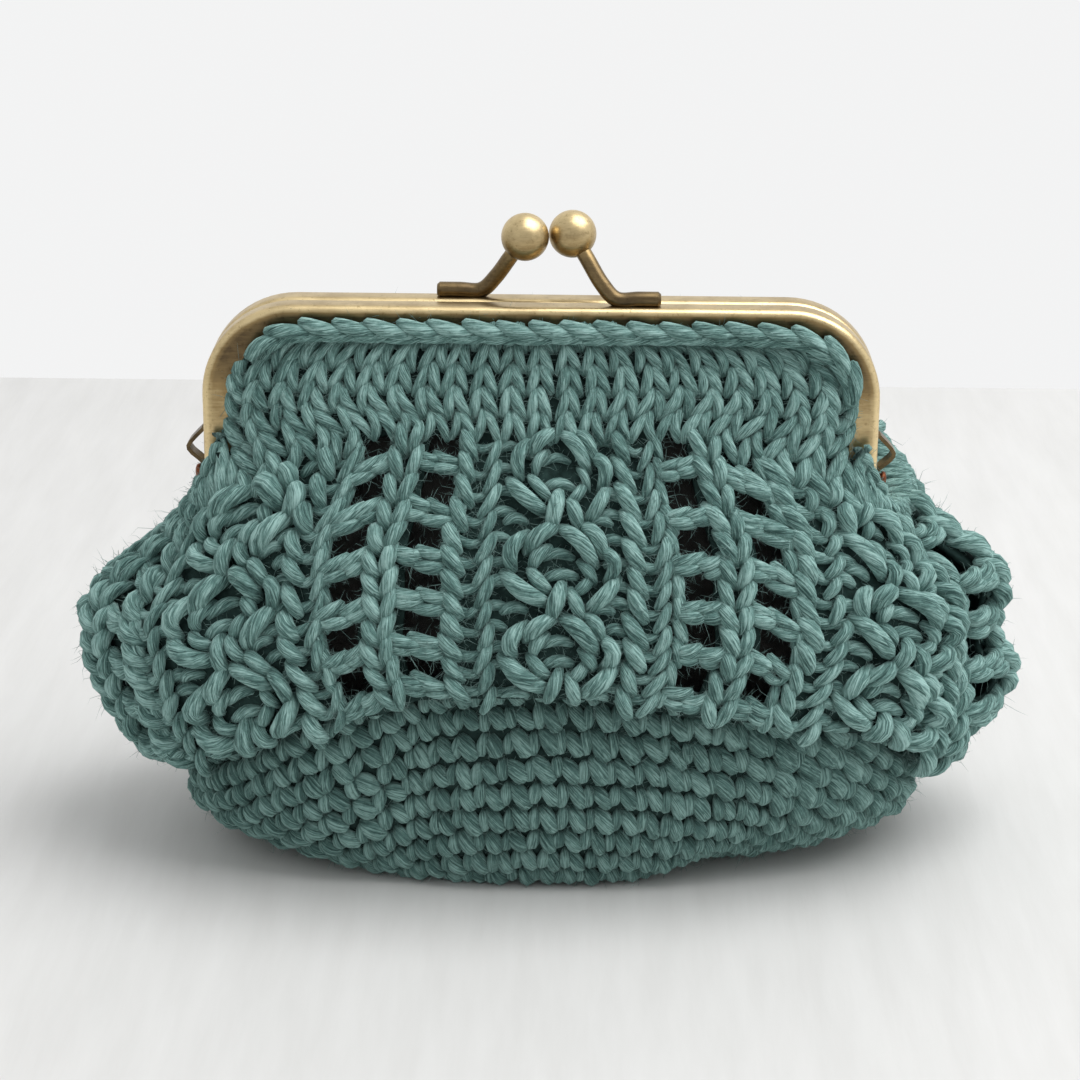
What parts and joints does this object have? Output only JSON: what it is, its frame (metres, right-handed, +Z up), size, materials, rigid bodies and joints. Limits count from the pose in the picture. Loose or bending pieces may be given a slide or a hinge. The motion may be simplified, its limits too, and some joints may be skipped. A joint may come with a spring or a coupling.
{
  "type": "knitted clasp pouch",
  "caption": "Knitted wool pouch with cable and lace bands, a crocheted rounded base, a dark lining and a hinged metal clasp frame with snap knobs.",
  "frame": {"origin": "on the table under the middle of the pouch", "axes": "+Z up, +X to the right as seen from the front, and the front faces -Y"},
  "size_m": [0.17, 0.077, 0.1162],
  "materials": {
    "knit_wool": "knitted worsted wool, teal",
    "crochet_wool": "crocheted worsted wool, teal",
    "lining_cloth": "plain woven cotton, charcoal",
    "antique_brass": "antiqued, brushed"
  },
  "bodies": {
    "root": {"knit_body": "knit_wool", "crochet_base": "crochet_wool", "lining": "lining_cloth", "edge_chain_front": "knit_wool", "edge_chain_back": "knit_wool", "frame_half_front": "antique_brass", "frame_half_back": "antique_brass", "hinge_rivet_right": "antique_brass", "hinge_rivet_left": "antique_brass", "chain_loop_right": "antique_brass", "chain_loop_left": "antique_brass"}
  },
  "joints": []
}
